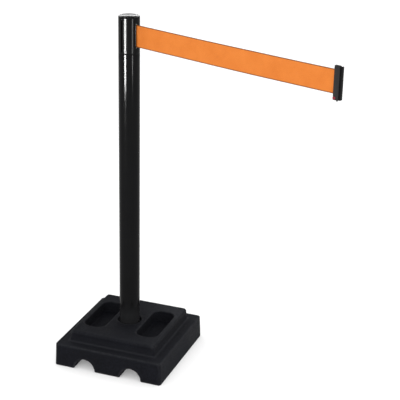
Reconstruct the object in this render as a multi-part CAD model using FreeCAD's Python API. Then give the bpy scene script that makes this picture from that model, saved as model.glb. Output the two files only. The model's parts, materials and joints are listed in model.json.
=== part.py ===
import FreeCAD, Part
import math
import os

os.makedirs("parts", exist_ok=True)

# Retractable-belt barrier post.  Millimetres, +Z up.
# The origin is the centre of the base's underside.  X runs along the base's
# front edge, Y towards its back.  The belt leaves the head along BELT_AZ.

# ---- overall -------------------------------------------------------------
BELT_AZ = -19.3          # heading of the belt about +Z, degrees
H_TOP = 1086.5           # top of the cap
POST_R = 31.75           # 2.5 in post
TUBE_WALL = 2.0
SEAM_Z = 977.5           # where the head stands on the tube
CAP_Z = 1083.5           # where the cap lies on the head

# ---- base ----------------------------------------------------------------
BASE_W = 356.0           # at the floor; the moulded sides lean in a little
BASE_TOP_W = 351.6
BASE_H = 74.5            # height of the lower tier
TIER_W = 282.0           # width of the raised tier's top
TIER_ROOT_W = 287.0
TIER_TOP = 111.0
TIER_EDGE_R = 9.0
BASE_CORNER_R = 9.0
TIER_CORNER_R = 11.0
TUNNEL_X = 77.0          # the two arched tunnels run front to back
TUNNEL_R = 34.0
TUNNEL_CZ = 2.5
POCKET_X0, POCKET_X1 = 53.0, 124.0
POCKET_HALF_Y = 89.0
POCKET_FLOOR = 76.0
POCKET_R = 27.0
SEAT_R = 37.5            # open ring round the foot of the post
SEAT_FLOOR = 97.0
SOCKET_R = 31.9
SOCKET_FLOOR = 34.0
BOLT_RECESS_R = 33.0
BOLT_RECESS_H = 15.0
BOLT_R = 6.0

# ---- head ----------------------------------------------------------------
HEAD_IN_R = 28.75
SPIGOT_R = 29.65
SPIGOT_IN_R = 25.5
SPIGOT_Z = 945.0
SHELF_Z0, SHELF_Z1 = 980.0, 984.0
SHELF_HOLE_R = 22.0
RECEIVER_ANGLES = (90.0, 180.0, 270.0)
RCV_R0, RCV_R1 = 23.8, 29.4      # radial reach of the T pocket
RCV_HALF_W = 6.5
RCV_NECK_HALF_W = 2.3
RCV_BACK = 22.5
BELT_SLOT_HALF_W = 5.6
BELT_SLOT_Z0, BELT_SLOT_Z1 = 993.5, 1069.5

# ---- belt ----------------------------------------------------------------
BELT_Z0, BELT_Z1 = 998.5, 1064.0
BELT_T = 0.45
ROLL_R = 16.85           # wound belt at this payout
ROLLER_U, ROLLER_V, ROLLER_R = 24.8, 3.0, 2.6
CLIP_U = 710.8           # the clip's belt-side face, from the post's axis

# ---- belt end clip -------------------------------------------------------
CLIP_L = 17.5
CLIP_HALF_T = 4.5
CLIP_Z0, CLIP_Z1 = 983.0, 1074.5
NECK_L = 3.2
TEE_T = 3.2
TEE_HALF_W = 5.75
HEM_U = 12.0

# ---- cassette ------------------------------------------------------------
PLATE_R = 22.2
LOW_Z0, LOW_Z1 = 984.0, 986.5
UP_Z0, UP_Z1 = 1070.0, 1072.5
SPOOL_R = 20.6
CORE_R = 7.0
SHAFT_R = 4.0
BUSH_CLR = 0.05
CUP_R, CUP_IN_R = 21.6, 20.6
CUP_Z0 = 952.0
DRUM_R, DRUM_IN_R = 21.5, 19.2
DRUM_Z0, DRUM_Z1 = 1072.5, 1080.5
STAND_R = 26.0

V = FreeCAD.Vector
Z = V(0, 0, 1)


def cyl(r, z0, z1, x=0.0, y=0.0):
    return Part.makeCylinder(r, z1 - z0, V(x, y, z0), Z)


def tube(ro, ri, z0, z1, x=0.0, y=0.0):
    return cyl(ro, z0, z1, x, y).cut(cyl(ri, z0 - 1, z1 + 1, x, y))


def box(x0, x1, y0, y1, z0, z1):
    return Part.makeBox(x1 - x0, y1 - y0, z1 - z0, V(x0, y0, z0))


def turned(s, deg):
    s = s.copy()
    s.rotate(V(0, 0, 0), Z, deg)
    return s


def fuse(a, *rest):
    for s in rest:
        a = a.fuse(s)
    return a.removeSplitter()


def rounded_slab(x0, x1, y0, y1, z0, z1, r):
    b = box(x0, x1, y0, y1, z0, z1)
    vert = [e for e in b.Edges if abs(e.Vertexes[0].Z - e.Vertexes[1].Z) > (z1 - z0) * 0.9]
    return b.makeFillet(r, vert)


def hexagon(af, z0, z1, rot=0.0):
    r = af / math.sqrt(3.0)
    p = [V(r * math.cos(math.radians(60 * k + rot)), r * math.sin(math.radians(60 * k + rot)), z0) for k in range(6)]
    return Part.Face(Part.makePolygon(p + [p[0]])).extrude(V(0, 0, z1 - z0))


def solids(shape):
    return shape.Solids


nodes = {}


def put(name, shape, heading=0.0):
    if heading:
        shape = turned(shape, heading)
    sol = solids(shape)
    out = sol[0] if len(sol) == 1 else Part.makeCompound(sol)
    nodes[name] = out


# ===== base ===============================================================
def drafted_slab(w0, w1, z0, z1, r):
    """A square slab whose sides lean in from w0 wide at z0 to w1 wide at z1."""
    b = box(-w0 / 2, w0 / 2, -w0 / 2, w0 / 2, z0, z1)
    wedge = box(w0 / 2, w0 / 2 + 60, -w0, w0, 2 * z0 - z1, 2 * z1 - z0)
    wedge.rotate(V(w0 / 2, 0, z0), V(0, 1, 0), -math.degrees(math.atan2((w0 - w1) / 2, z1 - z0)))
    for k in range(4):
        b = b.cut(turned(wedge, 90 * k))
    side = [e for e in b.Edges if e.BoundBox.ZLength > (z1 - z0) * 0.9]
    return b.makeFillet(r, side)


h = BASE_W / 2
lean = (TIER_ROOT_W - TIER_W) / (TIER_TOP - BASE_H)
lower = drafted_slab(BASE_W, BASE_TOP_W, 0, BASE_H, BASE_CORNER_R)
upper = drafted_slab(TIER_ROOT_W + 6 * lean, TIER_W, BASE_H - 6, TIER_TOP, TIER_CORNER_R)
block = lower.fuse(upper).removeSplitter()


def horizontal_edges(shape, z, inside=None, outside=None):
    out = []
    for e in shape.Edges:
        bb = e.BoundBox
        if abs(bb.ZMin - z) < 1e-4 and abs(bb.ZMax - z) < 1e-4:
            m = max(abs(bb.XMin), abs(bb.XMax), abs(bb.YMin), abs(bb.YMax))
            if inside is not None and m > inside:
                continue
            if outside is not None and m < outside:
                continue
            out.append(e)
    return out


block = block.makeFillet(TIER_EDGE_R, horizontal_edges(block, TIER_TOP))
block = block.makeFillet(4.0, horizontal_edges(block, BASE_H, outside=BASE_TOP_W / 2 - BASE_CORNER_R - 1))
block = block.makeFillet(5.0, horizontal_edges(block, BASE_H, inside=TIER_ROOT_W / 2 + 1))
block = block.makeFillet(2.0, horizontal_edges(block, 0.0))

# arched tunnels, flared a little where their sides meet the floor
FLARE = 5.0
for sx in (-1, 1):
    cx = sx * TUNNEL_X
    arch = Part.makeCylinder(TUNNEL_R, BASE_W + 4, V(cx, -h - 2, TUNNEL_CZ), V(0, 1, 0))
    leg = box(cx - TUNNEL_R, cx + TUNNEL_R, -h - 2, h + 2, -5, TUNNEL_CZ)
    block = block.cut(arch.fuse(leg))
    for side in (-1, 1):
        x = cx + side * TUNNEL_R
        wedge = box(min(x, x + side * FLARE), max(x, x + side * FLARE), -h - 2, h + 2, -5, FLARE)
        rnd = Part.makeCylinder(FLARE, BASE_W + 8, V(x + side * FLARE, -h - 4, FLARE), V(0, 1, 0))
        block = block.cut(wedge.cut(rnd))

# long pockets beside the post, with rounded rims and floors
for sx in (-1, 1):
    x0, x1 = sorted((sx * POCKET_X0, sx * POCKET_X1))
    pocket = rounded_slab(x0, x1, -POCKET_HALF_Y, POCKET_HALF_Y, POCKET_FLOOR, TIER_TOP + 5, POCKET_R)
    low = [e for e in pocket.Edges if abs(e.BoundBox.ZMax - POCKET_FLOOR) < 1e-4]
    pocket = pocket.makeFillet(6.0, low)
    block = block.cut(pocket)
    rim = [e for e in block.Edges
           if abs(e.BoundBox.ZMin - TIER_TOP) < 1e-4 and abs(e.BoundBox.ZMax - TIER_TOP) < 1e-4
           and x0 - 1 < e.BoundBox.XMin and e.BoundBox.XMax < x1 + 1
           and abs(e.BoundBox.YMin) < POCKET_HALF_Y + 1 and abs(e.BoundBox.YMax) < POCKET_HALF_Y + 1]
    block = block.makeFillet(4.5, rim)

block = block.cut(cyl(SEAT_R, SEAT_FLOOR, TIER_TOP + 5))
rim = [e for e in block.Edges if abs(e.BoundBox.ZMin - TIER_TOP) < 1e-4 and abs(e.BoundBox.ZMax - TIER_TOP) < 1e-4
       and abs(e.BoundBox.XMax - SEAT_R) < 0.01 and abs(e.BoundBox.YMax) < SEAT_R + 0.1]
block = block.makeFillet(2.0, rim)
block = block.cut(cyl(SOCKET_R, SOCKET_FLOOR, SEAT_FLOOR + 1))
block = block.cut(cyl(BOLT_RECESS_R, -1, BOLT_RECESS_H))
block = block.cut(cyl(BOLT_R + 0.7, BOLT_RECESS_H - 1, SOCKET_FLOOR + 1))
put("rubber_base", block)

put("base_load_washer", tube(BOLT_RECESS_R - 0.5, BOLT_R + 0.5, 11.0, BOLT_RECESS_H))
put("base_lock_washer", tube(10.5, BOLT_R + 0.3, 8.4, 11.0).cut(box(5, 12, -0.8, 0.8, 8, 12)))
bolt = hexagon(18.0, 0.9, 8.4).common(cyl(10.2, 0.9, 8.4)).fuse(cyl(BOLT_R, 8.4, 54.0))
put("base_bolt", bolt.removeSplitter())

# ===== post ===============================================================
put("post_tube", tube(POST_R, POST_R - TUBE_WALL, SOCKET_FLOOR, SEAM_Z))
put("tube_foot_plate", tube(POST_R - TUBE_WALL - 0.02, BOLT_R + 0.5, SOCKET_FLOOR, 40.0))
put("foot_weld_nut", hexagon(19.0, 40.0, 50.8).cut(cyl(BOLT_R + 0.02, 39, 52)))

# ===== head housing (built with the belt along +X, then turned) ===========
body = cyl(POST_R, SEAM_Z, CAP_Z).fuse(cyl(SPIGOT_R, SPIGOT_Z, SEAM_Z + 1))
body = body.cut(cyl(HEAD_IN_R, SHELF_Z1, CAP_Z + 1))
body = body.cut(cyl(SPIGOT_IN_R, SPIGOT_Z - 1, SHELF_Z0))
body = body.cut(cyl(SHELF_HOLE_R, SHELF_Z0 - 1, SHELF_Z1 + 1))
for a in RECEIVER_ANGLES:
    boss = box(RCV_BACK, HEAD_IN_R + 0.6, -9.0, 9.0, SHELF_Z1 - 0.5, CAP_Z)
    body = body.fuse(turned(boss, a))
body = body.removeSplitter()
for a in RECEIVER_ANGLES:
    pocket = box(RCV_R0, RCV_R1, -RCV_HALF_W, RCV_HALF_W, SHELF_Z1, CAP_Z + 1)
    neck = box(RCV_R1 - 0.5, POST_R + 2, -RCV_NECK_HALF_W, RCV_NECK_HALF_W, SHELF_Z1, CAP_Z + 1)
    body = body.cut(turned(pocket.fuse(neck), a))
body = body.cut(box(HEAD_IN_R - 4, POST_R + 2, -BELT_SLOT_HALF_W, BELT_SLOT_HALF_W, BELT_SLOT_Z0, BELT_SLOT_Z1))
SCREW_ANGLES = (60.0, 120.0)
for a in SCREW_ANGLES:
    hole = Part.makeCylinder(1.6, 12, V(22, 0, 962), V(1, 0, 0))
    body = body.cut(turned(hole, a))
put("head_housing", body, BELT_AZ)

# holes through the tube for the head's two screws
tb = nodes["post_tube"]
for a in SCREW_ANGLES:
    hole = Part.makeCylinder(2.2, 12, V(26, 0, 962), V(1, 0, 0))
    sink = Part.makeCone(2.2, 4.2, 2.0, V(POST_R - 1.7, 0, 962), V(1, 0, 0))
    tb = tb.cut(turned(hole.fuse(sink), a + BELT_AZ))
nodes["post_tube"] = tb.Solids[0]

screws = []
for a in SCREW_ANGLES:
    s = Part.makeCylinder(1.55, 5.6, V(24.2, 0, 962), V(1, 0, 0))
    s = s.fuse(Part.makeCone(1.55, 3.3, 1.7, V(29.8, 0, 962), V(1, 0, 0)))
    s = s.cut(box(30.9, 33, -0.4, 0.4, 959.5, 964.5)).cut(box(30.9, 33, -2.5, 2.5, 961.6, 962.4))
    screws.append(turned(s.removeSplitter(), a + BELT_AZ))
put("head_screws", Part.makeCompound(screws))

# cap: a shallow dome with a rounded edge and the same three T cut-outs
DOME_R = 900.0
cap = cyl(POST_R, CAP_Z, H_TOP)
edge = [e for e in cap.Edges if abs(e.BoundBox.ZMin - H_TOP) < 1e-4]
cap = cap.makeFillet(1.3, edge)
dome = Part.makeSphere(DOME_R, V(0, 0, H_TOP - DOME_R))
cap = cap.common(dome)
skirt = tube(HEAD_IN_R - 0.25, HEAD_IN_R - 2.2, CAP_Z - 2.6, CAP_Z)
cap = cap.fuse(skirt)
for a in RECEIVER_ANGLES:
    gap = box(20, 31, -9.4, 9.4, CAP_Z - 4, CAP_Z)
    cut = box(RCV_R0, RCV_R1, -RCV_HALF_W, RCV_HALF_W, CAP_Z - 4, H_TOP + 1)
    neck = box(RCV_R1 - 0.5, POST_R + 2, -RCV_NECK_HALF_W, RCV_NECK_HALF_W, CAP_Z - 4, H_TOP + 1)
    cap = cap.cut(turned(gap, a)).cut(turned(cut.fuse(neck), a))
put("top_cap", cap.removeSplitter(), BELT_AZ)

# frame round the belt's slot
bz = box(26, 34, -BELT_SLOT_HALF_W + 0.1, BELT_SLOT_HALF_W - 0.1, BELT_SLOT_Z0 + 0.1, BELT_SLOT_Z1 - 0.1)
bz = bz.common(tube(POST_R + 0.5, 28.3, 980, 1080))
lip = box(26, 34, -6.9, 6.9, BELT_SLOT_Z0 - 1.6, BELT_SLOT_Z1 + 1.6).common(tube(POST_R + 0.5, POST_R + 0.01, 980, 1080))
bz = bz.fuse(lip)
bz = bz.cut(box(20, 40, -3.9, 3.9, BELT_Z0 - 2.2, BELT_Z1 + 2.2))
put("belt_bezel", bz.removeSplitter(), BELT_AZ)


# ===== cassette ===========================================================
def plate(z0, z1, hole):
    p = cyl(PLATE_R, z0, z1)
    for a in (45, 135, 225, 315):
        ear = box(14, 28.3, -4.2, 4.2, z0, z1)
        p = p.fuse(turned(ear, a))
    p = p.fuse(box(14, 28.0, -6.4, 6.4, z0, z1)).removeSplitter()
    return p.common(cyl(28.3, z0 - 1, z1 + 1)).cut(cyl(hole, z0 - 1, z1 + 1))


BUSH_R = 6.5
low = plate(LOW_Z0, LOW_Z1, BUSH_R + 0.02)
put("cassette_lower_plate", low, BELT_AZ)
up = plate(UP_Z0, UP_Z1, BUSH_R + 0.02)
for a in (45, 135, 225, 315):
    up = up.cut(turned(cyl(1.25, UP_Z0 - 1, UP_Z1 + 1, STAND_R, 0), a))
put("cassette_upper_plate", up, BELT_AZ)

st, sc = [], []
for a in (45, 135, 225, 315):
    post = cyl(1.9, LOW_Z1, UP_Z0, STAND_R, 0).cut(cyl(1.05, UP_Z0 - 6, UP_Z0 + 1, STAND_R, 0))
    st.append(turned(post, a + BELT_AZ))
    s = cyl(1.0, UP_Z0 - 5, UP_Z1, STAND_R, 0).fuse(cyl(1.9, UP_Z1, UP_Z1 + 1.4, STAND_R, 0))
    s = s.cut(box(STAND_R - 1.4, STAND_R + 1.4, -0.25, 0.25, UP_Z1 + 0.7, UP_Z1 + 2))
    sc.append(turned(s.removeSplitter(), a + BELT_AZ))
put("cassette_standoffs", Part.makeCompound(st))
put("cassette_screws", Part.makeCompound(sc))

pins = [turned(cyl(0.9, LOW_Z1, UP_Z0, ROLLER_U, s * ROLLER_V), BELT_AZ) for s in (-1, 1)]
put("guide_pins", Part.makeCompound(pins))

lb = cyl(BUSH_R, LOW_Z0, LOW_Z1).fuse(cyl(8.0, LOW_Z1, LOW_Z1 + 1.3)).removeSplitter()
put("lower_bush", lb.cut(cyl(SHAFT_R + BUSH_CLR, 900, 1100)), BELT_AZ)
ub = cyl(BUSH_R, UP_Z0, UP_Z1).fuse(cyl(8.0, UP_Z0 - 1.0, UP_Z0)).removeSplitter()
put("upper_bush", ub.cut(cyl(SHAFT_R + BUSH_CLR, 900, 1100)), BELT_AZ)

cup = cyl(CUP_R, CUP_Z0, LOW_Z0).cut(cyl(CUP_IN_R, CUP_Z0 + 1.5, LOW_Z0 + 1)).cut(cyl(SHAFT_R + 0.3, CUP_Z0 - 1, CUP_Z0 + 3))
put("spring_cup", cup, BELT_AZ)

# power spring: a flat strip wound as semicircles about two centres
STEP = 1.06
STRIP = 0.6
TURNS = 7
pts_in, pts_out = [], []


def spiral(r0):
    edges = []
    r = r0
    side = 1
    cx = 0.0
    start = V(cx + r, 0, 0)
    for k in range(2 * TURNS):
        top = V(cx, r * side, 0)
        end = V(cx - r * side if side == 1 else cx + r, 0, 0)
        edges.append(Part.Arc(start, top, end).toShape())
        start = end
        if side == 1:
            cx, r, side = STEP, r + STEP, -1
        else:
            cx, r, side = 0.0, r + STEP, 1
    return edges, V(r0, 0, 0), start


ein, a0, a1 = spiral(4.75)
eout, b0, b1 = spiral(4.75 + STRIP)
wire = Part.Wire(Part.__sortEdges__(ein + [Part.LineSegment(a1, b1).toShape()] + eout + [Part.LineSegment(b0, a0).toShape()]))
spring = Part.Face(wire).extrude(V(0, 0, 22.0))
spring.translate(V(0, 0, 957.0))
put("power_spring", spring, BELT_AZ)

# ===== spool ==============================================================
sp = cyl(CORE_R, 988.2, UP_Z0 - 1.4)
sp = sp.fuse(cyl(SPOOL_R, 995.5, 997.5)).fuse(cyl(SPOOL_R, 1065.0, 1067.0)).removeSplitter()
edges = [e for e in sp.Edges if abs(e.BoundBox.XMax - SPOOL_R) < 0.01 and e.BoundBox.ZLength < 1e-4]
sp = sp.makeFillet(0.6, edges)
put("belt_spool", sp.cut(cyl(SHAFT_R + 0.02, 900, 1100)), BELT_AZ)
shaft = cyl(SHAFT_R, CUP_Z0 + 0.4, 1080.2)
sedge = [e for e in shaft.Edges if e.BoundBox.ZLength < 1e-4]
put("spool_shaft", shaft.makeChamfer(0.5, sedge), BELT_AZ)
put("belt_roll", tube(ROLL_R, CORE_R + 0.02, BELT_Z0, BELT_Z1), BELT_AZ)

# ===== speed brake ========================================================
drum = tube(DRUM_R, DRUM_IN_R, DRUM_Z0, DRUM_Z1).fuse(tube(DRUM_R, BUSH_R + 1.0, DRUM_Z0, DRUM_Z0 + 1.0)).removeSplitter()
put("brake_drum", drum, BELT_AZ)
BR0, BR1 = 1074.3, 1079.6
car = cyl(8.0, BR0, BR1).fuse(box(-2.4, 2.4, -17.6, 17.6, BR0, BR1)).fuse(box(-12.0, 12.0, -1.9, 1.9, BR0, BR1)).removeSplitter()
put("brake_carrier", car.cut(cyl(SHAFT_R + 0.02, 900, 1100)), BELT_AZ)


def shoe(side):
    s = tube(18.35, 8.9, BR0 + 0.1, BR1 - 0.1).common(box(3.1, 25, -25, 25, 1000, 1100))
    s = s.cut(box(0, 13.4, -2.2, 2.2, 1000, 1100))
    return turned(s, 0 if side > 0 else 180)


put("brake_shoe_a", shoe(1), BELT_AZ)
put("brake_shoe_b", shoe(-1), BELT_AZ)

# ===== guide rollers ======================================================
for name, s in (("guide_roller_right", -1), ("guide_roller_left", 1)):
    r = cyl(ROLLER_R, 988.5, 1068.5, ROLLER_U, s * ROLLER_V).cut(cyl(0.95, 980, 1080, ROLLER_U, s * ROLLER_V))
    put(name, r, BELT_AZ)

# ===== belt ===============================================================
# straight outside the head, round the left roller, then on to the roll
hb = BELT_T / 2
amp = math.hypot(ROLLER_U, ROLLER_V)
reach = ROLL_R + hb + 0.15
beta = math.asin((reach + ROLLER_V) / amp) - math.atan2(ROLLER_V, ROLLER_U)
p1 = (ROLLER_U - ROLLER_V * math.sin(beta), ROLLER_V - ROLLER_V * math.cos(beta))
dx, dy = -math.cos(beta), math.sin(beta)
run = -(p1[0] * dx + p1[1] * dy)          # to the point nearest the shaft
nx, ny = -dy, dx                          # to the left of the inward run


def pt(r, ang):
    return V(ROLLER_U + r * math.sin(-ang), ROLLER_V - r * math.cos(ang), BELT_Z0)


u_end = CLIP_U + HEM_U - 1.4
ri, ro = ROLLER_V - hb, ROLLER_V + hb
A1 = V(u_end, hb, BELT_Z0)
A2 = V(ROLLER_U, hb, BELT_Z0)
A3 = pt(ri, beta)
A4 = A3 + V(dx * run, dy * run, 0)
B1 = V(u_end, -hb, BELT_Z0)
B2 = V(ROLLER_U, -hb, BELT_Z0)
B3 = pt(ro, beta)
B4 = B3 + V(dx * run, dy * run, 0)
edges = [
    Part.LineSegment(A1, A2).toShape(),
    Part.Arc(A2, pt(ri, beta / 2), A3).toShape(),
    Part.LineSegment(A3, A4).toShape(),
    Part.LineSegment(A4, B4).toShape(),
    Part.LineSegment(B4, B3).toShape(),
    Part.Arc(B3, pt(ro, beta / 2), B2).toShape(),
    Part.LineSegment(B2, B1).toShape(),
    Part.LineSegment(B1, A1).toShape(),
]
belt = Part.Face(Part.Wire(edges)).extrude(V(0, 0, BELT_Z1 - BELT_Z0))
hem = tube(1.75, 1.25, BELT_Z0, BELT_Z1, CLIP_U + HEM_U, 0)
belt = belt.fuse(hem).removeSplitter()
put("belt", belt, BELT_AZ)

# ===== belt end clip ======================================================
c0 = CLIP_U
clip = rounded_slab(c0, c0 + CLIP_L, -CLIP_HALF_T, CLIP_HALF_T, CLIP_Z0, CLIP_Z1, 1.6)
ends = [e for e in clip.Edges if e.BoundBox.ZLength < 1e-4]
clip = clip.makeFillet(1.0, ends)
clip = clip.cut(box(c0 - 1, c0 + HEM_U, -hb - 0.15, hb + 0.15, BELT_Z0 - 0.6, BELT_Z1 + 0.6))
clip = clip.cut(cyl(1.95, BELT_Z0 - 1.2, BELT_Z1 + 1.2, c0 + HEM_U, 0))
clip = clip.cut(box(c0 + 14.4, c0 + CLIP_L + 1, -1.65, 1.65, CLIP_Z0 + 1.4, CLIP_Z1 - 1.4))
clip = clip.cut(box(c0 + 9.6, c0 + 13.6, -1.9, 1.9, CLIP_Z0 - 1, 995.8))
clip = clip.cut(box(c0 - 1, c0 + 8.8, -6, 3.6, 984.6, 992.4))
screw_at = ((8.0, 1069.6), (8.0, 995.1))
for su, sz in screw_at:
    hole = Part.makeCylinder(1.25, 13.8, V(c0 + su, -3.8, sz), V(0, 1, 0))
    clip = clip.cut(hole).cut(Part.makeCylinder(2.1, 10, V(c0 + su, 2.9, sz), V(0, 1, 0)))
front = clip.common(box(c0 - 5, c0 + 30, -10, 0, 970, 1090))
back = clip.common(box(c0 - 5, c0 + 30, 0, 10, 970, 1090))
put("clip_front_shell", front, BELT_AZ)
put("clip_back_shell", back, BELT_AZ)

tee = box(c0 + 14.5, c0 + CLIP_L + NECK_L + 0.5, -1.6, 1.6, CLIP_Z0 + 1.5, CLIP_Z1 - 1.5)
fl = rounded_slab(c0 + CLIP_L + NECK_L, c0 + CLIP_L + NECK_L + TEE_T, -TEE_HALF_W, TEE_HALF_W, CLIP_Z0 + 1.5, CLIP_Z1 - 1.5, 1.0)
low_edges = [e for e in fl.Edges if e.BoundBox.ZLength < 1e-4]
fl = fl.makeFillet(0.8, low_edges)
put("tee_rail", tee.fuse(fl).removeSplitter(), BELT_AZ)

put("hem_pin", cyl(1.22, BELT_Z0 - 1.0, BELT_Z1 + 1.0, c0 + HEM_U, 0), BELT_AZ)
scs = []
for su, sz in screw_at:
    s = Part.makeCylinder(1.2, 6.6, V(c0 + su, -3.7, sz), V(0, 1, 0))
    s = s.fuse(Part.makeCylinder(2.0, 1.3, V(c0 + su, 2.9, sz), V(0, 1, 0)))
    s = s.cut(box(c0 + su - 1.5, c0 + su + 1.5, 3.6, 5, sz - 0.25, sz + 0.25))
    scs.append(turned(s.removeSplitter(), BELT_AZ))
put("clip_screws", Part.makeCompound(scs))

btn = box(c0 + 0.4, c0 + 8.4, -5.3, 1.2, 985.0, 992.0)
fe = [e for e in btn.Edges if abs(e.BoundBox.YMin + 5.3) < 1e-4 and abs(e.BoundBox.YMax + 5.3) < 1e-4]
put("latch_button", btn.makeFillet(0.8, fe), BELT_AZ)

paw = box(c0 + 9.9, c0 + 13.3, -1.6, 1.6, 979.9, 992.6)
pe = [e for e in paw.Edges if abs(e.BoundBox.ZMin - 979.9) < 1e-4 and abs(e.BoundBox.ZMax - 979.9) < 1e-4]
put("latch_pawl", paw.makeFillet(1.0, pe), BELT_AZ)

# leaf spring behind the button: a shallow bow, feet on the pocket's floor
z0, z1 = 986.6, 990.4
q = [V(c0 + 1.4, 3.5, z0), V(c0 + 4.4, 1.75, z0), V(c0 + 7.4, 3.5, z0)]
w = [V(c0 + 1.4, 3.2, z0), V(c0 + 4.4, 1.45, z0), V(c0 + 7.4, 3.2, z0)]
leaf = Part.Wire([Part.Arc(*q).toShape(), Part.LineSegment(q[2], w[2]).toShape(),
                  Part.Arc(w[2], w[1], w[0]).toShape(), Part.LineSegment(w[0], q[0]).toShape()])
put("latch_leaf_spring", Part.Face(leaf).extrude(V(0, 0, z1 - z0)), BELT_AZ)

# ===== write ==============================================================
for name, s in nodes.items():
    ok = s.isValid() and all(x.isClosed() for x in s.Shells)
    print(name, len(s.Solids), round(s.Volume), "valid" if ok else "NOT VALID")
    s.exportStep("parts/%s.step" % name)
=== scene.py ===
import json
import math

import bmesh
import bpy
import numpy as np
from mathutils import Matrix, Vector, noise


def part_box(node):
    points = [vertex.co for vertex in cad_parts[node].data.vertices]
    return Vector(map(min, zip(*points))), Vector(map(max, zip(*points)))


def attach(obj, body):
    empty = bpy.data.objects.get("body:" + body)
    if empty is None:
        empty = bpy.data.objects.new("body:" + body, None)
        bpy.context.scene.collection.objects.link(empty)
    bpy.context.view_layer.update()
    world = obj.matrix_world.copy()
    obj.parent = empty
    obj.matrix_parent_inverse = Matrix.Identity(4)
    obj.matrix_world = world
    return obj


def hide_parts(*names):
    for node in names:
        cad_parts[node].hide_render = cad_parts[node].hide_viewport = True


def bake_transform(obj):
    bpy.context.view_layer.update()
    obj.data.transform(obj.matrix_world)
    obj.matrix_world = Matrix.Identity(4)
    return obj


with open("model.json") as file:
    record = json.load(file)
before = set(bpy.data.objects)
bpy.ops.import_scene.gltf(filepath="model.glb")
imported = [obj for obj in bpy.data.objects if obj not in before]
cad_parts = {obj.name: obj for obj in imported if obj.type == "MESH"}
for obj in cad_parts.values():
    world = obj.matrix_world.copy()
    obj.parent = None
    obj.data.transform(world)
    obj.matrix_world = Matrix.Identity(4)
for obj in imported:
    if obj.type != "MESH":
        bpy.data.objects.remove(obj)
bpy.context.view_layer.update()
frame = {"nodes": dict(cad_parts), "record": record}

C = bpy.context
AZ = math.radians(-19.3)                 # heading of the belt
CA, SA = math.cos(AZ), math.sin(AZ)
TURN = Matrix.Rotation(AZ, 4, "Z")


def mm(*v):
    return Vector(v) / 1000.0


# ------------------------------------------------------------------ camera
def make_camera():
    f = 1200.0
    pitch, yaw, roll = math.radians(21.573), math.radians(-19.963), math.radians(1.209)
    fwd = Vector((math.sin(yaw) * math.cos(pitch), math.cos(yaw) * math.cos(pitch), -math.sin(pitch)))
    right = Vector((math.cos(yaw), -math.sin(yaw), 0))
    up = right.cross(fwd)
    r = math.cos(roll) * right + math.sin(roll) * up
    u = -math.sin(roll) * right + math.cos(roll) * up
    data = bpy.data.cameras.new("camera")
    data.sensor_fit = "HORIZONTAL"
    data.sensor_width = 36.0
    data.lens = f / 400.0 * 36.0
    data.clip_start, data.clip_end = 0.05, 60.0
    cam = bpy.data.objects.new("camera", data)
    C.scene.collection.objects.link(cam)
    m = Matrix((r, u, -fwd)).transposed().to_4x4()
    m.translation = mm(1363.72, -3124.55, 1866.05)
    cam.matrix_world = m
    C.scene.camera = cam


make_camera()


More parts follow.
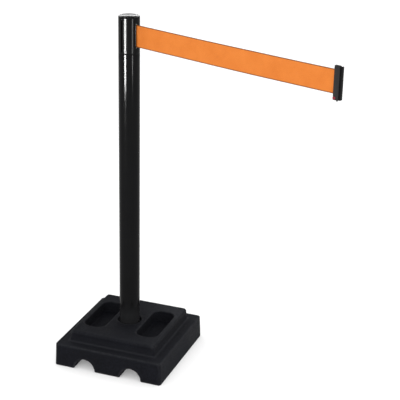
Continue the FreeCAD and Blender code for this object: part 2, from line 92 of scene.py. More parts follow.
# ------------------------------------------------------------- node helper
class Mat:
    """A node material, built a node at a time."""

    def __init__(self, name):
        self.m = bpy.data.materials.new(name)
        self.m.use_nodes = True
        self.t = self.m.node_tree
        self.t.nodes.clear()
        self.out = self.t.nodes.new("ShaderNodeOutputMaterial")
        self.b = self.t.nodes.new("ShaderNodeBsdfPrincipled")
        self.t.links.new(self.b.outputs[0], self.out.inputs[0])
        self.co = None

    def node(self, kind, **settings):
        n = self.t.nodes.new(kind)
        for k, v in settings.items():
            setattr(n, k, v)
        return n

    def link(self, a, b):
        self.t.links.new(a, b)

    def coord(self):
        if self.co is None:
            self.co = self.node("ShaderNodeTexCoord").outputs["Object"]
        return self.co

    def mapped(self, scale=(1, 1, 1), rot=(0, 0, 0)):
        n = self.node("ShaderNodeMapping")
        n.inputs["Scale"].default_value = scale
        n.inputs["Rotation"].default_value = rot
        self.link(self.coord(), n.inputs["Vector"])
        return n.outputs[0]

    def noise(self, scale, detail=3.0, rough=0.55, vec=None, distortion=0.0):
        n = self.node("ShaderNodeTexNoise")
        n.inputs["Scale"].default_value = scale
        n.inputs["Detail"].default_value = detail
        n.inputs["Roughness"].default_value = rough
        n.inputs["Distortion"].default_value = distortion
        self.link(vec if vec is not None else self.coord(), n.inputs["Vector"])
        return n.outputs["Fac"]

    def voronoi(self, scale, vec=None, feature="F1", out="Distance", rand=1.0):
        n = self.node("ShaderNodeTexVoronoi", feature=feature)
        n.inputs["Scale"].default_value = scale
        n.inputs["Randomness"].default_value = rand
        self.link(vec if vec is not None else self.coord(), n.inputs["Vector"])
        return n.outputs[out]

    def ramp(self, fac, stops):
        n = self.node("ShaderNodeValToRGB")
        e = n.color_ramp.elements
        while len(e) < len(stops):
            e.new(0.5)
        for el, (p, c) in zip(e, stops):
            el.position = p
            el.color = c if len(c) == 4 else (*c, 1.0)
        self.link(fac, n.inputs["Fac"])
        return n.outputs["Color"]

    def range(self, v, a, b, lo, hi):
        n = self.node("ShaderNodeMapRange")
        for k, x in zip(("From Min", "From Max", "To Min", "To Max"), (a, b, lo, hi)):
            n.inputs[k].default_value = x
        self.link(v, n.inputs["Value"])
        return n.outputs["Result"]

    def math(self, op, a, b=None, clamp=False):
        n = self.node("ShaderNodeMath", operation=op, use_clamp=clamp)
        for i, x in enumerate((a, b)):
            if x is None:
                continue
            if isinstance(x, (int, float)):
                n.inputs[i].default_value = x
            else:
                self.link(x, n.inputs[i])
        return n.outputs[0]

    def mix(self, fac, a, b, mode="MIX"):
        n = self.node("ShaderNodeMix", data_type="RGBA", blend_type=mode)
        for sock, x in ((n.inputs[0], fac), (n.inputs[6], a), (n.inputs[7], b)):
            if isinstance(x, (int, float)):
                sock.default_value = x
            elif isinstance(x, tuple):
                sock.default_value = x if len(x) == 4 else (*x, 1.0)
            else:
                self.link(x, sock)
        return n.outputs[2]

    def attr(self, name):
        return self.node("ShaderNodeAttribute", attribute_name=name).outputs["Fac"]

    def bump(self, height, strength, distance, prev=None):
        n = self.node("ShaderNodeBump")
        n.inputs["Strength"].default_value = strength
        n.inputs["Distance"].default_value = distance
        self.link(height, n.inputs["Height"])
        if prev is not None:
            self.link(prev, n.inputs["Normal"])
        return n.outputs[0]

    def set(self, **kw):
        for k, v in kw.items():
            s = self.b.inputs[k.replace("_", " ")]
            if isinstance(v, (int, float, tuple)):
                s.default_value = (*v, 1.0) if isinstance(v, tuple) and len(v) == 3 else v
            else:
                self.link(v, s)
        return self


def rubber():
    k = Mat("base_rubber")
    big = k.noise(9.0, 4.0, 0.6)
    crumbs = k.voronoi(520.0, out="Color")
    cell = k.voronoi(520.0, out="Distance")
    col = k.ramp(big, [(0.3, (0.0032, 0.0035, 0.0053)), (0.55, (0.0050, 0.0054, 0.0080)), (0.8, (0.0083, 0.0089, 0.0122))])
    bw = k.node("ShaderNodeRGBToBW")
    k.link(crumbs, bw.inputs[0])
    speck = k.range(bw.outputs[0], 0.25, 0.9, 0.65, 1.6)
    sc = k.node("ShaderNodeCombineColor")
    for i in range(3):
        k.link(speck, sc.inputs[i])
    col = k.mix(1.0, col, sc.outputs[0], "MULTIPLY")
    dust = k.math("MULTIPLY", k.attr("wear"), k.range(k.noise(160.0, 5.0, 0.7), 0.35, 0.7, 0.2, 1.0), True)
    col = k.mix(dust, col, (0.029, 0.030, 0.033))
    # lighter rubber where the mask says: gathered dust in the creases, painted sheen on the plateau top and painted
    # fill light in the seat ring
    dust_and_light_mix = k.math("MULTIPLY", k.attr("dust_and_painted_light"), k.range(k.noise(110.0, 5.0, 0.7), 0.3, 0.7, 0.7, 1.1), True)
    col = k.mix(dust_and_light_mix, col, (0.0190, 0.0200, 0.0236))
    # painted shade darkens the pockets' lower walls and floors
    col = k.mix(k.math("MULTIPLY", k.attr("pocket_floor_shade"), 0.15), col, (0.0022, 0.0024, 0.0034))
    h = k.math("ADD", k.range(cell, 0.0, 0.9, 1.0, 0.0), k.math("MULTIPLY", k.noise(1400.0, 2.0), 0.5))
    n = k.bump(h, 0.55, 0.0007)
    n = k.bump(k.noise(70.0, 4.0, 0.6), 0.35, 0.0016, n)
    k.set(Base_Color=col, Roughness=k.range(big, 0.3, 0.8, 0.62, 0.86), Normal=n)
    k.b.inputs["Specular IOR Level"].default_value = 0.08
    return k.m


def paint():
    k = Mat("black_paint")
    spots = k.noise(6.0, 3.0)
    col = k.ramp(spots, [(0.35, (0.0056, 0.0056, 0.0059)), (0.7, (0.0070, 0.0070, 0.0074))])
    dust = k.range(k.noise(420.0, 2.0, 0.5), 0.66, 0.78, 0.0, 0.25)
    col = k.mix(dust, col, (0.014, 0.014, 0.0145))
    # painted light: the paint turns lighter towards the foot of the post, lifting the shade the base throws on it
    sep = k.node("ShaderNodeSeparateXYZ")
    k.link(k.coord(), sep.inputs[0])
    foot = k.math("MULTIPLY", k.range(sep.outputs["Z"], 0.178, 0.138, 0.0, 1.0),
                  k.range(k.noise(55.0, 4.0, 0.65), 0.3, 0.7, 0.82, 1.0), True)
    col = k.mix(foot, col, (0.0185, 0.0187, 0.0198))
    peel = k.noise(330.0, 2.0, 0.4)
    n = k.bump(peel, 0.05, 0.0002)
    k.set(Base_Color=col, Roughness=k.range(k.noise(24.0, 4.0, 0.6), 0.3, 0.75, 0.08, 0.13), Normal=n)
    k.b.inputs["Specular IOR Level"].default_value = 0.035
    return k.m


def plastic(name, base, rough=(0.22, 0.34), grain=0.12, scale=700.0, spec=0.42, light=1.4):
    k = Mat(name)
    v = k.noise(14.0, 4.0, 0.6)
    col = k.ramp(v, [(0.3, base), (0.75, tuple(min(1.0, c * light) for c in base))])
    scuff = k.range(k.noise(90.0, 5.0, 0.75, vec=k.mapped((1, 1, 0.25))), 0.62, 0.8, 0.0, 0.35)
    col = k.mix(scuff, col, tuple(min(1.0, c * 2.2 + 0.01) for c in base))
    n = k.bump(k.noise(scale, 3.0, 0.6), grain, 0.0005)
    k.set(Base_Color=col, Roughness=k.range(k.noise(40.0, 4.0, 0.65), 0.3, 0.75, *rough), Normal=n)
    k.b.inputs["Specular IOR Level"].default_value = spec
    return k.m


def steel(name, base, rough=(0.25, 0.42), scale=(60, 60, 4)):
    k = Mat(name)
    brushed = k.noise(30.0, 6.0, 0.7, vec=k.mapped(scale))
    col = k.ramp(brushed, [(0.3, tuple(c * 0.8 for c in base)), (0.7, base)])
    k.set(Base_Color=col, Roughness=k.range(brushed, 0.3, 0.7, *rough), Normal=k.bump(brushed, 0.12, 0.0003))
    k.b.inputs["Metallic"].default_value = 1.0
    return k.m


def webbing(name="orange_webbing"):
    """Flat woven polyester: warp ribs along the belt, a fine weft across, in the belt's own directions."""
    k = Mat(name)
    m = k.node("ShaderNodeMapping")
    m.vector_type = "POINT"
    m.inputs["Rotation"].default_value = (0, 0, -AZ)
    k.link(k.coord(), m.inputs["Vector"])
    sep = k.node("ShaderNodeSeparateXYZ")
    k.link(m.outputs[0], sep.inputs[0])
    u, z = sep.outputs["X"], sep.outputs["Z"]
    pitch_u, pitch_z = 0.0011, 0.00125
    # rows of slanted picks, turned over at every rib: a herringbone of fine ribs
    rib = k.math("MULTIPLY", z, 1.0 / pitch_z)
    frac = k.math("FRACT", rib)
    odd = k.math("FRACT", k.math("MULTIPLY", k.math("FLOOR", rib), 0.5))
    slant = k.math("MULTIPLY", k.math("SUBTRACT", k.math("MULTIPLY", odd, 4.0), 1.0), frac)
    row = k.math("ADD", k.math("MULTIPLY", u, 1.0 / pitch_u), k.math("MULTIPLY", slant, 0.9))
    pick = k.math("SINE", k.math("MULTIPLY", row, 2 * math.pi))
    ribh = k.math("SINE", k.math("MULTIPLY", frac, math.pi))
    h = k.math("ADD", k.math("MULTIPLY", pick, 0.28), ribh)
    fuzz = k.noise(2600.0, 2.0, 0.6)
    h = k.math("ADD", h, k.math("MULTIPLY", fuzz, 0.35))
    shade = k.range(h, -0.2, 1.5, 0.0, 1.0)
    tone = k.noise(26.0, 4.0, 0.6)
    light = k.ramp(tone, [(0.3, (0.735, 0.214, 0.036)), (0.7, (0.795, 0.250, 0.046))])
    dark = k.ramp(tone, [(0.3, (0.570, 0.138, 0.018)), (0.7, (0.620, 0.160, 0.023))])
    col = k.mix(shade, dark, light)
    edge = k.attr("edge")
    col = k.mix(k.math("MULTIPLY", edge, 0.9, True), col, (0.125, 0.038, 0.011))
    soil = k.range(k.noise(60.0, 5.0, 0.7, vec=k.mapped((1, 1, 2.5))), 0.6, 0.85, 0.0, 0.22)
    col = k.mix(soil, col, (0.42, 0.15, 0.06))
    n = k.bump(h, 0.6, 0.00022)
    k.set(Base_Color=col, Roughness=k.range(fuzz, 0.3, 0.7, 0.62, 0.8), Normal=n)
    k.b.inputs["Specular IOR Level"].default_value = 0.12
    k.b.inputs["Sheen Weight"].default_value = 0.04
    k.b.inputs["Sheen Roughness"].default_value = 0.5
    k.b.inputs["Sheen Tint"].default_value = (1.0, 0.72, 0.5, 1.0)
    return k.m


MATS = {
    "base_rubber": rubber(),
    "black_paint": paint(),
    "black_plastic": plastic("black_plastic", (0.0056, 0.0056, 0.0060), (0.15, 0.20), 0.03, spec=0.035),
    "tee_plastic": plastic("tee_plastic", (0.0055, 0.0055, 0.0060), (0.3, 0.42), 0.1, spec=0.05),
    "clip_plastic": plastic("clip_plastic", (0.019, 0.019, 0.0195), (0.36, 0.5), 0.2, spec=0.12),
    "cap_plastic": plastic("cap_plastic", (0.0055, 0.0055, 0.0058), (0.06, 0.09), 0.02, spec=0.06),
    "black_screw": steel("black_screw", (0.05, 0.05, 0.052)),
    "zinc_steel": steel("zinc_steel", (0.62, 0.62, 0.61)),
    "spring_steel": steel("spring_steel", (0.30, 0.29, 0.28)),
    "white_nylon": plastic("white_nylon", (0.66, 0.64, 0.58), (0.35, 0.5), 0.1, light=1.1),
    "brake_lining": plastic("brake_lining", (0.10, 0.065, 0.04), (0.7, 0.9), 0.5, 500.0),
    "orange_webbing": webbing(),
    "red_plastic": plastic("red_plastic", (0.21, 0.022, 0.036), (0.25, 0.36), 0.05, spec=0.2, light=1.2),
}

SLOT = {s["node"]: s["material_slot"] for s in frame["record"]["subparts"]}


def coat(o, mat):
    m = MATS[mat] if isinstance(mat, str) else mat
    if o.material_slots:
        for s in o.material_slots:
            s.link = "OBJECT"
            s.material = m
    else:
        o.data.materials.append(m)
    return o


for name, o in frame["nodes"].items():
    coat(o, SLOT[name])


# --------------------------------------------------------------- mesh tools
def new_obj(name, verts, faces):
    me = bpy.data.meshes.new(name)
    me.from_pydata([tuple(v) for v in verts], [], faces)
    me.validate()
    me.update()
    o = bpy.data.objects.new(name, me)
    C.scene.collection.objects.link(o)
    return o


def baked(o):
    """Applies every modifier."""
    C.view_layer.update()
    dg = C.evaluated_depsgraph_get()
    me = bpy.data.meshes.new_from_object(o.evaluated_get(dg), depsgraph=dg)
    me.name = o.name
    o.modifiers.clear()
    old = o.data
    o.data = me
    if old.users == 0:
        bpy.data.meshes.remove(old)
    return o


def smooth(o, angle=32.0):
    o.data.polygons.foreach_set("use_smooth", [True] * len(o.data.polygons))
    o.data.set_sharp_from_angle(angle=math.radians(angle))
    o.data.update()
    return o


def tidy(o, dist=2e-6):
    b = bmesh.new()
    b.from_mesh(o.data)
    bmesh.ops.remove_doubles(b, verts=b.verts, dist=dist)
    bmesh.ops.dissolve_degenerate(b, edges=b.edges, dist=dist)
    loose = [v for v in b.verts if not v.link_faces]
    bmesh.ops.delete(b, geom=loose, context="VERTS")
    bmesh.ops.recalc_face_normals(b, faces=b.faces)
    b.to_mesh(o.data)
    b.free()
    return o


def lathe(name, profile, seg=160, centre=(0.0, 0.0)):
    """A closed profile of (r, z) in mm turned about Z."""
    n = len(profile)
    verts, faces = [], []
    for i in range(seg):
        a = 2 * math.pi * i / seg
        for r, z in profile:
            verts.append(mm(centre[0] + r * math.cos(a), centre[1] + r * math.sin(a), z))
    for i in range(seg):
        j = (i + 1) % seg
        for k in range(n):
            l = (k + 1) % n
            faces.append((i * n + k, j * n + k, j * n + l, i * n + l))
    o = new_obj(name, verts, faces)
    return tidy(o)


def box_obj(name, x0, x1, y0, y1, z0, z1, bevel=0.0, seg=3):
    b = bmesh.new()
    bmesh.ops.create_cube(b, size=1.0)
    for v in b.verts:
        v.co = mm((x0 + x1) / 2 + v.co.x * (x1 - x0), (y0 + y1) / 2 + v.co.y * (y1 - y0), (z0 + z1) / 2 + v.co.z * (z1 - z0))
    if bevel:
        bmesh.ops.bevel(b, geom=b.edges[:], offset=bevel / 1000, segments=seg, profile=0.5, affect="EDGES", clamp_overlap=True)
    me = bpy.data.meshes.new(name)
    b.to_mesh(me)
    b.free()
    o = bpy.data.objects.new(name, me)
    C.scene.collection.objects.link(o)
    return o


def cyl_obj(name, p0, p1, r, seg=48):
    """A cylinder from p0 to p1 in mm."""
    p0, p1 = Vector(p0), Vector(p1)
    d = p1 - p0
    b = bmesh.new()
    bmesh.ops.create_cone(b, cap_ends=True, segments=seg, radius1=r / 1000, radius2=r / 1000, depth=d.length / 1000)
    rot = d.to_track_quat("Z", "Y").to_matrix().to_4x4()
    bmesh.ops.transform(b, matrix=Matrix.Translation((p0 + p1) / 2000) @ rot, verts=b.verts)
    me = bpy.data.meshes.new(name)
    b.to_mesh(me)
    b.free()
    o = bpy.data.objects.new(name, me)
    C.scene.collection.objects.link(o)
    return o


def boolean(o, others, op="DIFFERENCE"):
    for x in others:
        m = o.modifiers.new("b", "BOOLEAN")
        m.operation = op
        m.solver = "EXACT"
        m.object = x
        baked(o)
        bpy.data.objects.remove(x)
    return o


def soften(o, width, seg=2, angle=35.0):
    m = o.modifiers.new("bevel", "BEVEL")
    m.width = width / 1000
    m.segments = seg
    m.limit_method = "ANGLE"
    m.angle_limit = math.radians(angle)
    m.harden_normals = False
    m.use_clamp_overlap = True
    return baked(o)


def turned(o, extra=0.0):
    o.data.transform(TURN @ Matrix.Rotation(math.radians(extra), 4, "Z"))
    return o


GLOSS = bpy.data.collections.new("glossy_post")      # what the strip lights are flagged onto
CAP_ONLY = bpy.data.collections.new("glossy_cap")


def place(o, body, mat, *nodes, slot=None):
    coat(o, mat)
    if "post_tube" in nodes or "head_housing" in nodes or "belt_bezel" in nodes:
        GLOSS.objects.link(o)
    if "top_cap" in nodes:
        CAP_ONLY.objects.link(o)
    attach(o, body)
    if nodes:
        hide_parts(*nodes)
    return o


# ------------------------------------------------------------- rubber base
def make_base():
    src = frame["nodes"]["rubber_base"]
    o = bpy.data.objects.new("rubber_base_moulding", src.data.copy())
    C.scene.collection.objects.link(o)
    o.data.materials.clear()
    tidy(o, 1e-6)
    m = o.modifiers.new("r", "REMESH")
    m.mode = "VOXEL"
    m.voxel_size = 0.0018
    baked(o)
    me = o.data
    n = len(me.vertices)
    co = np.zeros(n * 3)
    me.vertices.foreach_get("co", co)
    co = co.reshape(-1, 3)
    # a little smoothing takes the voxel steps out
    ed = np.zeros(len(me.edges) * 2, np.int64)
    me.edges.foreach_get("vertices", ed)
    ed = ed.reshape(-1, 2)
    deg = np.bincount(ed.ravel(), minlength=n).astype(float)
    for step in range(4):
        lam = 0.5 if step % 2 == 0 else -0.52
        acc = np.zeros_like(co)
        for c in range(3):
            acc[:, c] = np.bincount(ed[:, 0], co[ed[:, 1], c], n) + np.bincount(ed[:, 1], co[ed[:, 0], c], n)
        co += lam * (acc / deg[:, None] - co)
    # crumb and flow marks, pressed inwards only
    nor = np.zeros(n * 3)
    me.vertices.foreach_set("co", co.ravel())
    me.update()
    me.vertices.foreach_get("normal", nor)
    nor = nor.reshape(-1, 3)
    dent = np.array([
        0.00030 * (0.5 + 0.5 * noise.noise(Vector(p) * 38)) + 0.00034 * max(0.0, noise.noise(Vector(p) * 260) - 0.05)
        for p in co
    ])
    co -= nor * dent[:, None]
    lo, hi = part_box("rubber_base")
    co = np.clip(co, np.array(lo), np.array(hi))
    me.vertices.foreach_set("co", co.ravel())
    # wear where the surface turns a convex corner: how far a vertex stands out of its neighbours' mean
    mean = co.copy()
    for _ in range(5):
        acc = np.zeros_like(mean)
        for c in range(3):
            acc[:, c] = np.bincount(ed[:, 0], mean[ed[:, 1], c], n) + np.bincount(ed[:, 1], mean[ed[:, 0], c], n)
        mean = acc / deg[:, None]
    out = ((co - mean) * nor).sum(1)
    wear = np.clip((out - 0.00012) / 0.0005, 0, 1)
    for _ in range(3):
        wear = 0.5 * wear + 0.5 * (np.bincount(ed[:, 0], wear[ed[:, 1]], n) + np.bincount(ed[:, 1], wear[ed[:, 0]], n)) / deg
    # lighter colour along the foot of the raised tier, on the ledge and down the pockets' walls, given as gathered
    # dust; on the plateau top and in the post's seat ring the same lighter colour is painted light
    x, y, z = (np.abs(co[:, 0]) * 1000, np.abs(co[:, 1]) * 1000, co[:, 2] * 1000)
    d = np.maximum(x, y)
    crease = np.clip(1.25 - np.hypot(d - 144.5, z - 75.5) / 5.5, 0, 1)
    ledge = 0.36 * np.clip((d - 138) / 4, 0, 1) * np.clip((z - 73) / 1.0, 0, 1) * np.clip((100 - z) / 14, 0, 1)
    inside = (x > 47) & (x < 130) & (y < 95) & (z > 74)
    walls = np.where(inside, np.clip((107 - z) / 6, 0, 1) * np.where(z > 81, 0.40, 0.0), 0.0)
    # painted sheen: the plateau top is painted lighter towards its outer edges and much lighter towards the back right
    top = 0.08 + 0.30 * np.clip((np.hypot(x, y) / 141.0 - 0.45) / 0.8, 0, 1) + co[:, 0] * 1.4
    top = top + 0.9 * np.clip((co[:, 0] - 0.02) / 0.1, 0, 1) * np.clip((co[:, 1] - 0.01) / 0.1, 0, 1)
    top = np.where(z > 109, np.clip(top, 0, 1), 0.0)
    # painted fill light: the walls of the post's seat ring are painted lighter to lift their shadow
    ring = np.where((np.hypot(x, y) < 40) & (z > 94), 0.75, 0.0)
    dust_and_painted_light = np.maximum(np.maximum(np.maximum(crease, ledge), np.maximum(walls, top)), ring)
    for _ in range(2):
        dust_and_painted_light = 0.5 * dust_and_painted_light + 0.5 * (np.bincount(ed[:, 0], dust_and_painted_light[ed[:, 1]], n) + np.bincount(ed[:, 1], dust_and_painted_light[ed[:, 0]], n)) / deg
    # painted shade: the pockets' lower walls and floors are painted darker
    pocket_floor_shade = np.where(inside, np.clip((84 - z) / 6, 0, 1), 0.0)
    for name, v in (("wear", wear), ("dust_and_painted_light", dust_and_painted_light), ("pocket_floor_shade", pocket_floor_shade)):
        a = me.attributes.new(name, "FLOAT", "POINT")
        a.data.foreach_set("value", v.astype(np.float32))
    me.polygons.foreach_set("use_smooth", [True] * len(me.polygons))
    me.update()
    return place(o, "root", "base_rubber", "rubber_base")


make_base()

# ------------------------------------------------------------ post and head
POST_R, TUBE_IN = 31.75, 29.75
SEAM, CAP_Z, TOP = 977.5, 1083.5, 1086.5

t_lo, t_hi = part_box("post_tube")
z0, z1 = t_lo.z * 1000, t_hi.z * 1000
TUBE_IN_R = TUBE_IN
prof = [(TUBE_IN_R, z0), (POST_R - 0.5, z0), (POST_R, z0 + 0.5)]
prof += [(POST_R, z0 + 0.5 + (z1 - z0 - 0.7) * k / 40) for k in range(1, 40)]
prof += [(POST_R, z1 - 0.2), (POST_R - 0.06, z1 - 0.06), (POST_R - 0.2, z1), (TUBE_IN_R, z1)]
tube = lathe("post_tube_shell", prof, 192)
holes = []
for a in (60.0, 120.0):
    c, s = math.cos(math.radians(a) + AZ), math.sin(math.radians(a) + AZ)
    holes.append(cyl_obj("h", (26 * c, 26 * s, 962), (40 * c, 40 * s, 962), 3.75, 40))
boolean(tube, holes)
smooth(tidy(tube))
place(tube, "root", "black_paint", "post_tube")

RCV = (90.0, 180.0, 270.0)


def receiver_cutters(z_lo, z_hi):
    out = []
    for a in RCV:
        p = box_obj("c", 23.8, 29.4, -6.5, 6.5, z_lo, z_hi)
        turned(p, a)
        q = box_obj("c", 29.0, 34, -2.3, 2.3, z_lo, z_hi)
        turned(q, a)
        out += [p, q]
    return out


def make_head():
    r = POST_R
    prof = [(28.75, 984.0), (22.0, 984.0), (22.0, 980.0), (25.5, 980.0), (25.5, 945.0), (TUBE_IN - 0.12, 945.0),
            (TUBE_IN - 0.12, SEAM), (r - 0.2, SEAM), (r - 0.06, SEAM + 0.06), (r, SEAM + 0.2)]
    prof += [(r, SEAM + 0.2 + (CAP_Z - SEAM - 0.7) * k / 24) for k in range(1, 24)]
    prof += [(r, CAP_Z - 0.5), (r - 0.12, CAP_Z - 0.15), (r - 0.45, CAP_Z), (28.75, CAP_Z)]
    o = lathe("head_shell", prof, 192)
    add = []
    for a in RCV:
        b = box_obj("c", 22.5, 29.9, -9, 9, 983.5, CAP_Z - 0.02)
        turned(b, a)
        add.append(b)
    boolean(o, add, "UNION")
    cut = receiver_cutters(984.0, CAP_Z + 3)
    slot = box_obj("c", 24.0, 36.0, -5.6, 5.6, 993.5, 1069.5)
    turned(slot)
    boolean(o, cut + [slot])
    soften(tidy(o), 0.35, 2, 50)
    return place(smooth(tidy(o), 35), "root", "black_plastic", "head_housing")


make_head()


def make_cap():
    r = POST_R
    dome = 900.0

    def zt(x):
        return TOP - (dome - math.sqrt(dome * dome - x * x))

    e = 1.3
    prof = [(0.001, CAP_Z), (r - 0.4, CAP_Z), (r, CAP_Z + 0.4)]
    ring = [(r - e + e * math.cos(t), zt(r - e) - e + e * math.sin(t)) for t in np.linspace(0, math.pi / 2, 7)]
    prof += [(x, z) for x, z in ring]
    prof += [(x, zt(x)) for x in np.linspace(r - e - 1, 0.001, 16)]
    o = lathe("cap_disc", prof, 192)
    boolean(o, receiver_cutters(CAP_Z - 4, TOP + 3))
    soften(tidy(o), 0.3, 2, 50)
    return place(smooth(tidy(o), 35), "root", "cap_plastic", "top_cap")


make_cap()


def make_bezel():
    """A frame with a rolled lip, swept round the slot, following the post's curve."""
    half_w, zc, half_h = 4.75, (998.5 + 1064.0) / 2, 36.9
    cr = 1.2                      # corner radius of the sweep
    path = []
    for sx, sz, a0 in ((1, 1, 0), (-1, 1, 90), (-1, -1, 180), (1, -1, 270)):
        for t in np.linspace(math.radians(a0), math.radians(a0 + 90), 7):
            path.append((sx * (half_w - cr) + cr * math.cos(t), zc + sz * (half_h - cr) + cr * math.sin(t), math.cos(t), math.sin(t)))
    # section: (outwards from the slot's middle, radial), a lip that lies on the post and a wall into the slot
    sec = [(-0.85, 28.4), (-0.85, 31.6)]
    sec += [(-0.35 + 0.5 * math.cos(t), 31.7 + 0.5 * math.sin(t)) for t in np.linspace(math.pi, math.pi / 2, 5)]
    sec += [(1.55 + 0.45 * math.cos(t), 31.78 + 0.42 * math.sin(t)) for t in np.linspace(math.pi / 2, 0, 5)]
    sec += [(1.9, 31.76), (0.72, 31.76), (0.72, 28.4)]
    verts, faces = [], []
    for v0, zz, nv, nz in path:
        for off, rad in sec:
            v, z = v0 + off * nv, zz + off * nz
            u = math.sqrt(max(rad * rad - v * v, 1.0))
            verts.append(mm(u, v, z))
    n, k = len(path), len(sec)
    for i in range(n):
        j = (i + 1) % n
        for a in range(k):
            b = (a + 1) % k
            faces.append((i * k + a, j * k + a, j * k + b, i * k + b))
    o = new_obj("slot_bezel", verts, faces)
    turned(tidy(o))
    return place(smooth(o, 40), "root", "black_plastic", "belt_bezel")


make_bezel()

# --------------------------------------------------------------------- belt
BZ0, BZ1 = 998.5, 1064.0
CLIP_U = 710.8


def make_belt():
    """One woven ribbon: round the guide roller inside the head, out of the slot, and into the clip. Its edges are bound by a thicker selvedge."""
    uc, vc = 24.8, 3.0
    amp = math.hypot(uc, vc)
    reach = 16.85 + 0.225 + 0.15
    beta = math.asin((reach + vc) / amp) - math.atan2(vc, uc)
    line = []
    p1 = (uc - vc * math.sin(beta), vc - vc * math.cos(beta))
    d = (-math.cos(beta), math.sin(beta))
    run = -(p1[0] * d[0] + p1[1] * d[1])
    for t in np.linspace(1, 0, 7)[:-1]:
        line.append((p1[0] + d[0] * run * t, p1[1] + d[1] * run * t, -d[0], -d[1]))
    for t in np.linspace(beta, 0, 6)[:-1]:
        line.append((uc - vc * math.sin(t), vc - vc * math.cos(t), math.cos(t), -math.sin(t)))
    first = len(line)
    u_end = CLIP_U + 10.6
    for u in np.linspace(uc, u_end, 300):
        line.append((u, 0.0, 1.0, 0.0))
    width = BZ1 - BZ0
    zs = np.concatenate([np.linspace(0, 1.6, 7), np.linspace(2.4, width - 2.4, 56), np.linspace(width - 1.6, width, 7)])
    rows = []
    for i, (u, v, du, dv) in enumerate(line):
        s = min(max((u - 33.0) / (CLIP_U - 2 - 33.0), 0.0), 1.0) if i >= first else 0.0
        sag = -1.25 * 4 * s * (1 - s)
        wav = math.sin(math.pi * s) ** 0.7 if 0 < s < 1 else 0.0
        row = []
        for z in zs:
            w = z / width
            cup = wav * (0.55 * math.sin(5.1 * s + 0.6) * (2 * w - 1) ** 2 + 0.5 * math.sin(9.0 * s + 2.0 * w))
            cup += wav * 0.35 * (noise.noise(Vector((u * 0.02, z * 0.03, 1.7))))
            scallop = 0.0
            if z < 1.7 or z > width - 1.7:
                scallop = 0.05 * math.sin(u * 2 * math.pi / 1.6)
            e = min(z, width - z)
            bead = 0.30 * math.exp(-((e - 0.75) / 0.5) ** 2)
            half = 0.225 if e > 2.0 else 0.15 + 0.10 * min(1.0, e / 0.35) ** 0.5 * 0.75 + bead
            row.append((u, v, du, dv, cup, z + BZ0 + sag, half + abs(scallop), e))
        rows.append(row)
    nz = len(zs)
    verts, faces, edge = [], [], []
    for side in (1, -1):
        for row in rows:
            for (u, v, du, dv, cup, z, half, e) in row:
                off = cup + side * half
                verts.append(mm(u - dv * off, v + du * off, z))
                edge.append(1.0 / (1.0 + (e / 2.2) ** 6))
    n = len(rows)
    for i in range(n - 1):
        for k in range(nz - 1):
            a = i * nz + k
            faces.append((a, a + nz, a + nz + 1, a + 1))
            b = n * nz + a
            faces.append((b, b + 1, b + nz + 1, b + nz))
        for k, flip in ((0, False), (nz - 1, True)):
            a, b = i * nz + k, n * nz + i * nz + k
            q = (a, b, b + nz, a + nz)
            faces.append(q[::-1] if flip else q)
    for i in (0, n - 1):
        for k in range(nz - 1):
            a, b = i * nz + k, n * nz + i * nz + k
            q = (a, a + 1, b + 1, b)
            faces.append(q if i == 0 else q[::-1])
    o = new_obj("woven_belt", verts, faces)
    at = o.data.attributes.new("edge", "FLOAT", "POINT")
    at.data.foreach_set("value", np.array(edge, np.float32))
    b = bmesh.new()
    b.from_mesh(o.data)
    bmesh.ops.recalc_face_normals(b, faces=b.faces)
    b.to_mesh(o.data)
    b.free()
    turned(o)
    o.data.polygons.foreach_set("use_smooth", [True] * len(o.data.polygons))
    coat(o, "orange_webbing")
    start = TURN @ mm(31.75, 0, 0)
    end = TURN @ mm(CLIP_U, 0, 0)
    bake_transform(o)
    # each point's share of the way from the slot to the clip, in step with its distance from the slot (computed here;
    # nothing uses it)
    co = np.zeros(len(o.data.vertices) * 3)
    o.data.vertices.foreach_get("co", co)
    co = co.reshape(-1, 3)
    t = np.clip(((co - np.array(start)) @ np.array(end - start)) / (end - start).length_squared, 0, 1)
    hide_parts("belt")
    return o


make_belt()


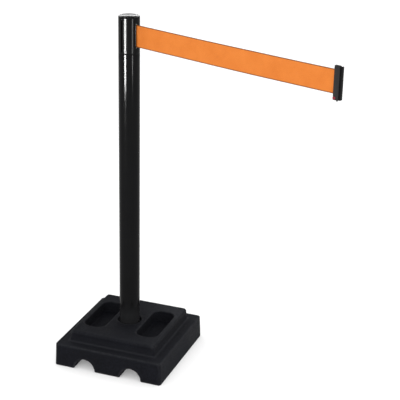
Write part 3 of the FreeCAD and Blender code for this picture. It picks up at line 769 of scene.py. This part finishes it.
# ----------------------------------------------------------------- belt end
def make_clip():
    c0 = CLIP_U
    for name, side in (("clip_shell_front", -1), ("clip_shell_back", 1)):
        o = box_obj(name, c0, c0 + 17.5, -4.5, 4.5, 983.0, 1074.5, 1.5, 4)
        cuts = [
            box_obj("c", c0 - 1, c0 + 12, -0.4, 0.4, 997.9, 1064.6),
            cyl_obj("c", (c0 + 12, 0, 997.3), (c0 + 12, 0, 1065.2), 1.95, 32),
            box_obj("c", c0 + 14.4, c0 + 19, -1.65, 1.65, 984.4, 1073.1),
            box_obj("c", c0 + 9.6, c0 + 13.6, -1.9, 1.9, 981.0, 995.8),
            box_obj("c", c0 - 1, c0 + 8.8, -6, 3.6, 984.6, 992.4),
        ]
        for z in (1069.6, 995.1):
            cuts.append(cyl_obj("c", (c0 + 8.0, -3.8, z), (c0 + 8.0, 6, z), 1.25, 24))
            cuts.append(cyl_obj("c", (c0 + 8.0, 2.9, z), (c0 + 8.0, 6, z), 2.1, 32))
        keep = box_obj("k", c0 - 5, c0 + 30, *((-9, -0.03) if side < 0 else (0.03, 9)), 970, 1090)
        boolean(o, cuts)
        boolean(o, [keep], "INTERSECT")
        soften(tidy(o), 0.22, 2, 50)
        turned(o)
        place(smooth(tidy(o), 38), "belt_end", "clip_plastic", "clip_front_shell" if side < 0 else "clip_back_shell")
    # tee rail: a neck and a flange with its ends rounded over
    tongue = box_obj("tee_neck_and_flange", c0 + 14.6, c0 + 21.2, -1.6, 1.6, 984.5, 1073.0, 0.3, 2)
    flange = box_obj("c", c0 + 20.7, c0 + 23.9, -5.75, 5.75, 984.5, 1073.0, 1.05, 4)
    boolean(tongue, [flange], "UNION")
    turned(tongue)
    place(smooth(tidy(tongue), 38), "belt_end", "tee_plastic", "tee_rail")
    # latch button with three grip lines
    b = box_obj("latch_push_button", c0 + 0.4, c0 + 8.4, -5.3, 1.2, 985.0, 992.0, 0.8, 3)
    boolean(b, [cyl_obj("c", (c0 - 1, -5.5, z), (c0 + 10, -5.5, z), 0.42, 16) for z in (986.9, 988.5, 990.1)])
    turned(b)
    place(smooth(tidy(b), 38), "latch_button", "red_plastic", "latch_button")
    # leaf spring behind the button: an arched strip whose feet sit on the pocket's floor
    rad = (3.0 ** 2 + 1.75 ** 2) / (2 * 1.75)
    half = math.asin(3.0 / rad)
    verts, faces = [], []
    n, zz = 33, (986.6, 987.2, 989.8, 990.4)
    for t in np.linspace(-half, half, n):
        for r in (rad - 0.15, rad + 0.15):
            for z in zz:
                trim = 0.0 if z in zz[1:3] else 0.06
                verts.append(mm(c0 + 4.4 + (r - trim * (1 if r > rad else -1)) * math.sin(t), 1.6 + rad - (r - trim * (1 if r > rad else -1)) * math.cos(t), z))
    m = len(zz)
    for i in range(n - 1):
        a, b = i * 2 * m, (i + 1) * 2 * m
        for k in range(m - 1):
            faces.append((a + k, a + k + 1, b + k + 1, b + k))
            faces.append((a + m + k, b + m + k, b + m + k + 1, a + m + k + 1))
        faces.append((a, b, b + m, a + m))
        faces.append((a + m - 1, a + 2 * m - 1, b + 2 * m - 1, b + m - 1))
    for a in (0, (n - 1) * 2 * m):
        for k in range(m - 1):
            q = (a + k, a + m + k, a + m + k + 1, a + k + 1)
            faces.append(q if a == 0 else q[::-1])
    leaf = turned(tidy(new_obj("latch_leaf", verts, faces), 1e-6))
    smooth(leaf, 40)
    coat(leaf, "spring_steel")
    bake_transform(leaf)
    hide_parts("latch_leaf_spring")
    p = box_obj("latch_nub", c0 + 9.9, c0 + 13.3, -1.6, 1.6, 979.9, 992.6, 0.6, 3)
    turned(p)
    place(smooth(p, 38), "latch_pawl", "clip_plastic", "latch_pawl")


make_clip()


# -------------------------------------------------------------------- stage
def make_stage():
    k = Mat("stage_floor")
    tone = k.noise(0.6, 3.0)
    col = k.ramp(tone, [(0.3, (0.91, 0.91, 0.91)), (0.7, (0.93, 0.93, 0.93))])
    k.set(Base_Color=col, Roughness=0.8)
    k.b.inputs["Specular IOR Level"].default_value = 0.2
    s = 16.0
    floor = new_obj("floor", [(-s, -s, 0), (s, -s, 0), (s, s, 0), (-s, s, 0)], [(0, 1, 2, 3)])
    floor.data.materials.append(k.m)

    w = bpy.data.worlds.new("studio")
    w.use_nodes = True
    C.scene.world = w
    t = w.node_tree
    bg = t.nodes["Background"]
    bg.inputs["Color"].default_value = (1.0, 1.0, 1.0, 1.0)
    bg.inputs["Strength"].default_value = 1.0
    # even white, with one dim patch behind and above the post
    co = t.nodes.new("ShaderNodeTexCoord")
    dot = t.nodes.new("ShaderNodeVectorMath")
    dot.operation = "DOT_PRODUCT"
    el, az = math.radians(22.4), math.radians(113.6)
    dot.inputs[1].default_value = (math.cos(el) * math.cos(az), math.cos(el) * math.sin(az), math.sin(el))
    t.links.new(co.outputs["Generated"], dot.inputs[0])
    mr = t.nodes.new("ShaderNodeMapRange")
    mr.inputs["From Min"].default_value = math.cos(math.radians(10.2))
    mr.inputs["From Max"].default_value = math.cos(math.radians(9.0))
    mr.inputs["To Min"].default_value = 1.0
    mr.inputs["To Max"].default_value = 0.03
    t.links.new(dot.outputs["Value"], mr.inputs["Value"])
    t.links.new(mr.outputs["Result"], bg.inputs["Color"])

    def area(name, azimuth, dist, z, size, radiance, target, onto=None):
        """A soft box of the given radiance, facing its target."""
        d = bpy.data.lights.new(name, "AREA")
        d.shape = "RECTANGLE"
        d.size, d.size_y = size
        d.energy = radiance * math.pi * size[0] * size[1]
        o = bpy.data.objects.new(name, d)
        C.scene.collection.objects.link(o)
        a = math.radians(azimuth)
        o.location = (dist * math.cos(a), dist * math.sin(a), z)
        o.rotation_euler = (Vector(target) - o.location).to_track_quat("-Z", "Y").to_euler()
        o.visible_camera = False
        if onto is not None:
            o.visible_diffuse = False
            o.light_linking.receiver_collection = onto
        return o

    # two tall strips that show as lines in the gloss of the post, a card behind for the cap, and a soft key
    area("strip_left", -109.0, 2.0, 0.985, (0.60, 1.35), 420.0, (0, 0, 0.985), GLOSS)
    area("strip_right", -31.5, 2.4, 0.95, (0.30, 1.42), 70.0, (0, 0, 0.95), GLOSS)
    area("card_behind", 113.6, 3.0, 1.75, (2.4, 0.09), 5.2, (0, 0, 1.75), CAP_ONLY)
    area("key", -82.0, 3.0, 2.4, (1.8, 1.8), 2.4, (0.1, 0, 0.6))

    # the sweep is burnt out to white from straight above
    only_floor = bpy.data.collections.new("only_floor")
    only_floor.objects.link(floor)
    d = bpy.data.lights.new("sweep_wash", "SUN")
    d.energy = 0.8
    d.use_shadow = False
    o = bpy.data.objects.new("sweep_wash", d)
    C.scene.collection.objects.link(o)
    o.light_linking.receiver_collection = only_floor


make_stage()

vs = C.scene.view_settings
vs.view_transform = "Standard"
vs.look = "None"
vs.exposure = 0.0
vs.gamma = 1.0
